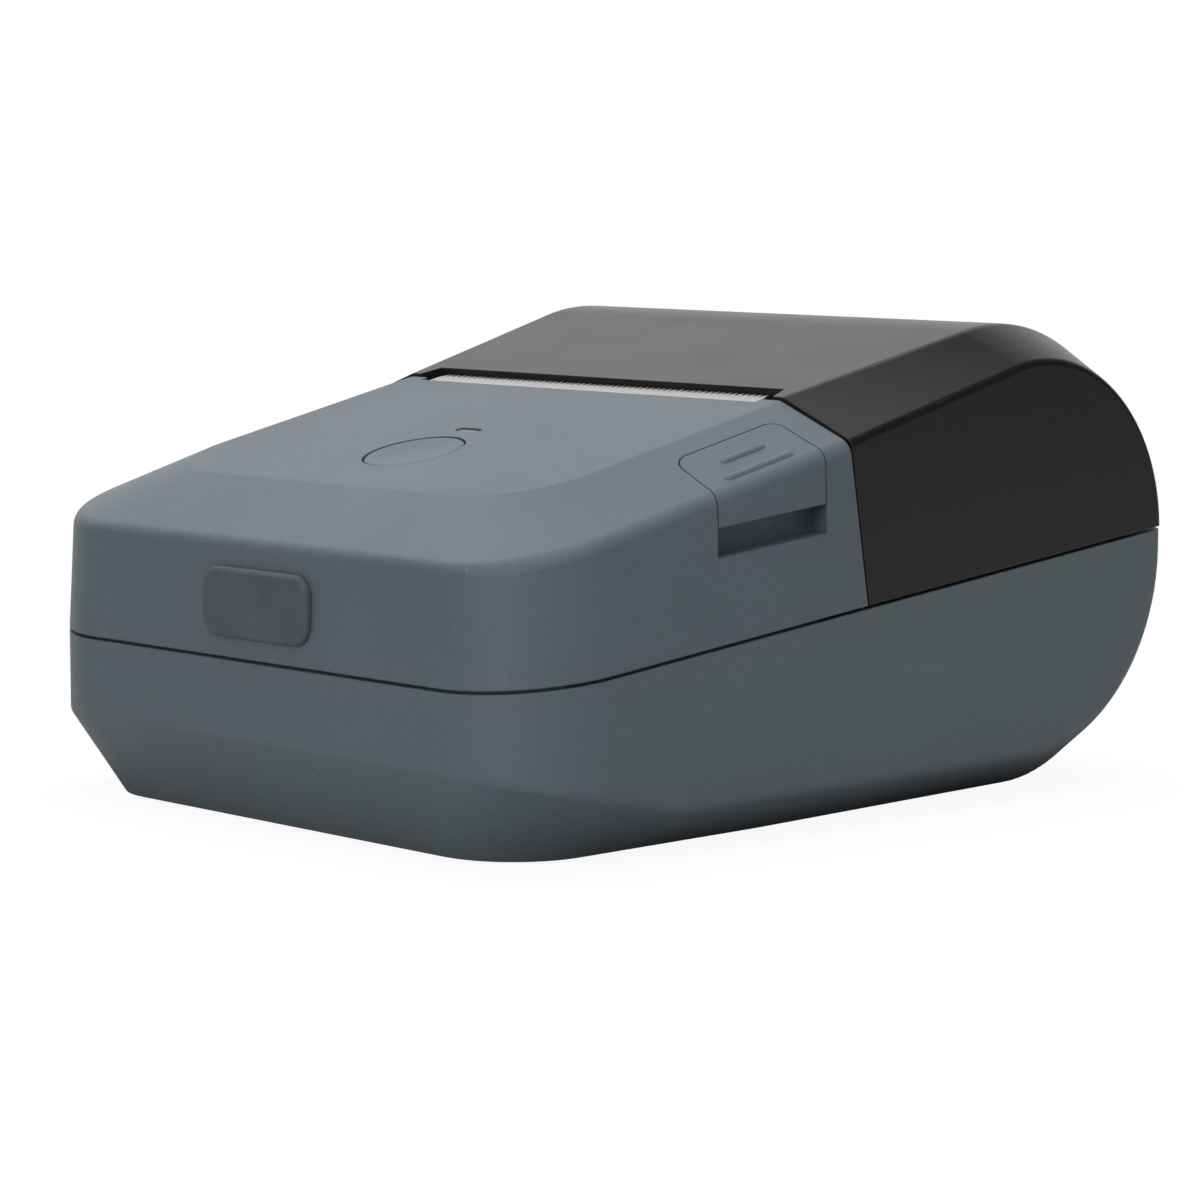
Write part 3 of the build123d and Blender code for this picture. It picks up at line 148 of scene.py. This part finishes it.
def bump(tree, shader, height, strength, distance, under=None):
    """Relief on the shader, laid over the normals under it where they are given."""
    node = tree.nodes.new("ShaderNodeBump")
    node.inputs["Strength"].default_value = strength
    node.inputs["Distance"].default_value = distance
    tree.links.new(height, node.inputs["Height"])
    if under is not None:
        tree.links.new(under, node.inputs["Normal"])
    tree.links.new(node.outputs["Normal"], shader.inputs["Normal"])
    return node.outputs["Normal"]


def tinted(colour, factor):
    """The colour darker or lighter by a factor."""
    return tuple(min(channel * factor, 1.0) for channel in colour)


def rounded_edges(tree):
    """Normals that turn smoothly over the piece's sharp edges."""
    node = tree.nodes.new("ShaderNodeBevel")
    node.samples = 4
    node.inputs["Radius"].default_value = EDGE_ROUND
    return node.outputs["Normal"]


def moulded(name, colour, roughness, specular=0.5, dust=0.0):
    """Moulded plastic: spark-eroded grain, faint mottling, and a few motes where dust is given."""
    material, tree, shader = new_material(name)
    place = object_space(tree)
    mottle = noise(tree, place, MOTTLE_SIZE, 3.0)
    fleck = noise(tree, place, FINE_GRAIN * FLECK_GRAINS)
    blend = tree.nodes.new("ShaderNodeMixRGB")
    blend.blend_type = "MULTIPLY"
    blend.inputs["Fac"].default_value = 1.0
    tree.links.new(ramp(tree, mottle, [(0.3, tinted(colour, 0.96)), (0.7, tinted(colour, 1.04))]),
                   blend.inputs["Color1"])
    tree.links.new(ramp(tree, fleck, [(0.32, (0.90, 0.90, 0.90)), (0.68, (1.0, 1.0, 1.0))]),
                   blend.inputs["Color2"])
    base = blend.outputs["Color"]
    if dust:
        base = dusted(tree, place, base, dust)
    tree.links.new(base, shader.inputs["Base Color"])
    patches = noise(tree, place, GLOSS_PATCH)
    tree.links.new(spread(tree, patches, roughness - GLOSS_SPREAD, roughness + GLOSS_SPREAD),
                   shader.inputs["Roughness"])
    shader.inputs["Specular IOR Level"].default_value = specular
    waves = noise(tree, place, COARSE_GRAIN)
    coarse = bump(tree, shader, waves, 0.25, GRAIN_RELIEF, under=rounded_edges(tree))
    bump(tree, shader, noise(tree, place, FINE_GRAIN, roughness=0.7), 0.8, GRAIN_RELIEF, under=coarse)
    return material


def dusted(tree, place, base, amount):
    """Sparse pale motes, each a small spot in a wide cell."""
    cells = tree.nodes.new("ShaderNodeTexVoronoi")
    cells.inputs["Scale"].default_value = 1 / MOTE_CELL
    tree.links.new(place, cells.inputs["Vector"])
    spot = math_node(tree, "LESS_THAN", cells.outputs["Distance"], MOTE_SHARE)
    mix = tree.nodes.new("ShaderNodeMixRGB")
    mix.inputs["Color2"].default_value = MOTE_COLOUR
    tree.links.new(math_node(tree, "MULTIPLY", spot, amount), mix.inputs["Fac"])
    tree.links.new(base, mix.inputs["Color1"])
    return mix.outputs["Color"]


def metal(name, colour, roughness, brushed=(1, 1, 1)):
    """Bare metal with a slightly uneven polish, brushed along the axis whose scale is small."""
    material, tree, shader = new_material(name)
    place = object_space(tree, brushed)
    streaks = noise(tree, place, BRUSH_SIZE, 4.0, 0.6)
    tint = ramp(tree, streaks, [(0.3, tinted(colour, 0.86)), (0.7, colour)])
    tree.links.new(tint, shader.inputs["Base Color"])
    tree.links.new(spread(tree, streaks, roughness - 0.06, roughness + 0.08), shader.inputs["Roughness"])
    shader.inputs["Metallic"].default_value = 1.0
    bump(tree, shader, streaks, 0.3, BRUSH_RELIEF)
    return material


def rubber(name, colour, roughness):
    """Moulded rubber: matt, with a soft sheen, a faint bloom and fine pores."""
    material, tree, shader = new_material(name)
    place = object_space(tree)
    bloom = noise(tree, place, BLOOM_SIZE, 4.0)
    tree.links.new(ramp(tree, bloom, [(0.25, tinted(colour, 0.88)), (0.8, tinted(colour, 1.15))]),
                   shader.inputs["Base Color"])
    shader.inputs["Roughness"].default_value = roughness
    shader.inputs["Specular IOR Level"].default_value = 0.3
    shader.inputs["Sheen Weight"].default_value = 0.04
    shader.inputs["Sheen Roughness"].default_value = 0.5
    pores = noise(tree, place, PORE_SIZE, 3.0, 0.7)
    bump(tree, shader, pores, 0.7, GRAIN_RELIEF, under=rounded_edges(tree))
    return material


def circuit_board(name):
    """Solder mask over copper: rows of dark blocks with paler tracks between them."""
    material, tree, shader = new_material(name)
    place = object_space(tree)
    bricks = tree.nodes.new("ShaderNodeTexBrick")
    bricks.inputs["Scale"].default_value = 1 / BOARD_CELL
    bricks.inputs["Color1"].default_value = (0.012, 0.10, 0.045, 1)
    bricks.inputs["Color2"].default_value = (0.010, 0.085, 0.040, 1)
    bricks.inputs["Mortar"].default_value = (0.03, 0.17, 0.08, 1)
    bricks.inputs["Mortar Size"].default_value = 0.05
    tree.links.new(place, bricks.inputs["Vector"])
    tree.links.new(bricks.outputs["Color"], shader.inputs["Base Color"])
    shader.inputs["Roughness"].default_value = 0.3
    bump(tree, shader, bricks.outputs["Fac"], 0.3, TRACK_RELIEF)
    return material


def lens(name):
    """A frosted light window."""
    material, tree, shader = new_material(name)
    place = object_space(tree)
    frost = noise(tree, place, FROST_SIZE)
    tint = ramp(tree, frost, [(0.3, (0.20, 0.21, 0.21)), (0.7, (0.26, 0.27, 0.27))])
    tree.links.new(tint, shader.inputs["Base Color"])
    shader.inputs["Roughness"].default_value = 0.35
    shader.inputs["Subsurface Weight"].default_value = 0.3
    shader.inputs["Subsurface Scale"].default_value = 0.0005
    bump(tree, shader, noise(tree, place, FINE_GRAIN), 0.3, FROST_RELIEF)
    return material


def make_materials():
    """One material for each of the record's slots."""
    casing_colour = (0.096, 0.124, 0.143)
    cover_colour = (0.0072, 0.0072, 0.0075)
    return {
        "casing": moulded("casing_plastic", casing_colour, 0.50, 0.55, dust=0.15),
        "cover": moulded("cover_plastic", cover_colour, 0.36, 0.52, dust=0.05),
        "steel_bright": metal("cutter_steel", (0.70, 0.69, 0.68), 0.40, (0.1, 1, 1)),
        "rubber_flap": rubber("flap_rubber", (0.074, 0.089, 0.096), 0.62),
        "lens": lens("lamp_window"),
        "board": circuit_board("board_mask"),
        "chip": moulded("chip_plastic", (0.02, 0.02, 0.022), 0.5),
        "steel": metal("plain_steel", (0.56, 0.56, 0.57), 0.3, (0.2, 1, 1)),
        "spring": metal("spring_steel", (0.60, 0.60, 0.62), 0.28),
        "alloy": metal("head_alloy", (0.62, 0.63, 0.65), 0.36, (0.05, 1, 1)),
        "motor": metal("motor_can", (0.45, 0.45, 0.47), 0.33, (1, 0.2, 0.2)),
        "black_rubber": rubber("platen_rubber", (0.022, 0.022, 0.023), 0.7),
        "gear": moulded("gear_acetal", (0.72, 0.71, 0.67), 0.35),
        "frame": moulded("frame_plastic", (0.030, 0.030, 0.033), 0.5),
        "battery": moulded("battery_sleeve", (0.045, 0.09, 0.20), 0.3),
        "head": moulded("heater_ceramic", (0.32, 0.28, 0.24), 0.22),
        "guide": moulded("guide_plastic", (0.035, 0.040, 0.045), 0.42),
    }


def dress_cad_nodes(materials):
    """Every CAD node gets the material of its slot."""
    slots = {part["node"]: part["material_slot"] for part in frame["record"]["subparts"]}
    for name, piece in frame["nodes"].items():
        piece.data.materials.clear()
        piece.data.materials.append(materials[slots[name]])


def make_camera():
    """The camera at the photograph's viewing angle."""
    camera_data = bpy.data.cameras.new("camera")
    camera_data.lens = CAMERA_LENS
    camera_data.sensor_width = CAMERA_SENSOR
    camera_data.sensor_fit = "HORIZONTAL"
    camera_data.clip_start = CAMERA_NEAREST
    camera = bpy.data.objects.new("camera", camera_data)
    bpy.context.scene.collection.objects.link(camera)
    azimuth = math.radians(CAMERA_AZIMUTH)
    elevation = math.radians(CAMERA_ELEVATION)
    level = math.cos(elevation)
    back = Vector((math.sin(azimuth) * level, -math.cos(azimuth) * level, math.sin(elevation)))
    camera.location = CAMERA_PLACE
    camera.rotation_euler = back.to_track_quat("Z", "Y").to_euler()
    bpy.context.scene.camera = camera


def area_light(name, place, size, power):
    """A round lamp that points at the object."""
    data = bpy.data.lights.new(name, "AREA")
    data.shape = "DISK"
    data.size = size
    data.energy = power
    light = bpy.data.objects.new(name, data)
    bpy.context.scene.collection.objects.link(light)
    light.location = place
    light.rotation_euler = (Vector(place) - Vector(LIGHT_TARGET)).to_track_quat("Z", "Y").to_euler()
    return light


def make_lights():
    """Two softboxes from above and two fills from the camera's side."""
    softbox = area_light("top_softbox", *TOP_SOFTBOX)
    softbox.visible_glossy = False
    area_light("left_softbox", *LEFT_SOFTBOX)
    area_light("front_fill", *FRONT_FILL)
    area_light("side_fill", *SIDE_FILL)


def make_world():
    """White to the camera; to reflections white behind the object and dim elsewhere; soft as a light."""
    world = bpy.data.worlds.new("studio")
    bpy.context.scene.world = world
    world.use_nodes = True
    tree = world.node_tree
    tree.nodes.clear()
    output = tree.nodes.new("ShaderNodeOutputWorld")
    place = tree.nodes.new("ShaderNodeTexCoord").outputs["Generated"]
    lit = backdrop(tree, place)
    light = tree.nodes.new("ShaderNodeBackground")
    light.inputs["Color"].default_value = (1, 1, 1, 1)
    tree.links.new(by_ray(tree, lit, STUDIO_SOFT, STUDIO_GLOSS), light.inputs["Strength"])
    tree.links.new(light.outputs["Background"], output.inputs["Surface"])


def smooth_step(tree, value, edge, core, low, high):
    """From low at the edge to high at the core, without a kink."""
    node = tree.nodes.new("ShaderNodeMapRange")
    node.interpolation_type = "SMOOTHSTEP"
    node.inputs["From Min"].default_value = edge
    node.inputs["From Max"].default_value = core
    node.inputs["To Min"].default_value = low
    node.inputs["To Max"].default_value = high
    tree.links.new(value, node.inputs["Value"])
    return node.outputs["Result"]


def backdrop(tree, direction):
    """1 where a direction from the object meets the lit backdrop, falling to 0 around it."""
    toward = tree.nodes.new("ShaderNodeVectorMath")
    toward.operation = "NORMALIZE"
    tree.links.new(direction, toward.inputs[0])
    dot = tree.nodes.new("ShaderNodeVectorMath")
    dot.operation = "DOT_PRODUCT"
    dot.inputs[1].default_value = BACKDROP
    tree.links.new(toward.outputs["Vector"], dot.inputs[0])
    return smooth_step(tree, dot.outputs["Value"], BACKDROP_EDGE, BACKDROP_CORE, 0.0, 1.0)


def mirrored_ray(tree, path):
    """1 for a ray that comes from a reflection or through glass."""
    return math_node(tree, "MAXIMUM", path.outputs["Is Glossy Ray"], path.outputs["Is Transmission Ray"])


def by_ray(tree, lit, soft, gloss):
    """Strength by kind of ray: 1 to the camera, up to 1 for reflections and glass, soft for the rest."""
    path = tree.nodes.new("ShaderNodeLightPath")
    mirrored = mirrored_ray(tree, path)
    seen = math_node(tree, "MULTIPLY_ADD", lit, 1.0 - gloss, gloss)
    other = math_node(tree, "SUBTRACT", 1.0, mirrored)
    strength = math_node(tree, "ADD", math_node(tree, "MULTIPLY", mirrored, seen),
                         math_node(tree, "MULTIPLY", other, soft))
    return math_node(tree, "MAXIMUM", strength, path.outputs["Is Camera Ray"])


def make_floor():
    """A wide floor: white to the camera but for the object's shadow, and dull as a bounce light."""
    bpy.ops.mesh.primitive_circle_add(vertices=128, radius=FLOOR_RADIUS, fill_type="NGON", location=(0, 0, 0))
    floor = bpy.context.active_object
    floor.name = "floor"
    material = bpy.data.materials.new("floor_white")
    material.use_nodes = True
    tree = material.node_tree
    tree.nodes.clear()
    output = tree.nodes.new("ShaderNodeOutputMaterial")
    matt = tree.nodes.new("ShaderNodeBsdfDiffuse")
    place = tree.nodes.new("ShaderNodeTexCoord").outputs["Object"]
    far = tree.nodes.new("ShaderNodeVectorMath")
    far.operation = "LENGTH"
    tree.links.new(place, far.inputs[0])
    path = tree.nodes.new("ShaderNodeLightPath")
    seen = path.outputs["Is Camera Ray"]
    white = smooth_step(tree, far.outputs["Value"], SHADOW_NEAR, SHADOW_FAR, GLOW_NEAR, 1.0)
    to_camera = math_node(tree, "MULTIPLY", seen, white)
    to_mirror = math_node(tree, "MULTIPLY", mirrored_ray(tree, path), backdrop(tree, place))
    share = math_node(tree, "MAXIMUM", to_camera, to_mirror)
    tone = tree.nodes.new("ShaderNodeCombineColor")
    paint = math_node(tree, "MULTIPLY_ADD", seen, FLOOR_PAINT - FLOOR_BOUNCE, FLOOR_BOUNCE)
    for channel in ("Red", "Green", "Blue"):
        tree.links.new(paint, tone.inputs[channel])
    tree.links.new(tone.outputs["Color"], matt.inputs["Color"])
    glow = tree.nodes.new("ShaderNodeEmission")
    glow.inputs["Strength"].default_value = 1.0
    mix = tree.nodes.new("ShaderNodeMixShader")
    tree.links.new(share, mix.inputs["Fac"])
    tree.links.new(matt.outputs["BSDF"], mix.inputs[1])
    tree.links.new(glow.outputs["Emission"], mix.inputs[2])
    tree.links.new(mix.outputs["Shader"], output.inputs["Surface"])
    floor.data.materials.append(material)


scene = bpy.context.scene
scene.view_settings.view_transform = "Standard"
make_camera()
make_world()
make_lights()
make_floor()
dress_cad_nodes(make_materials())
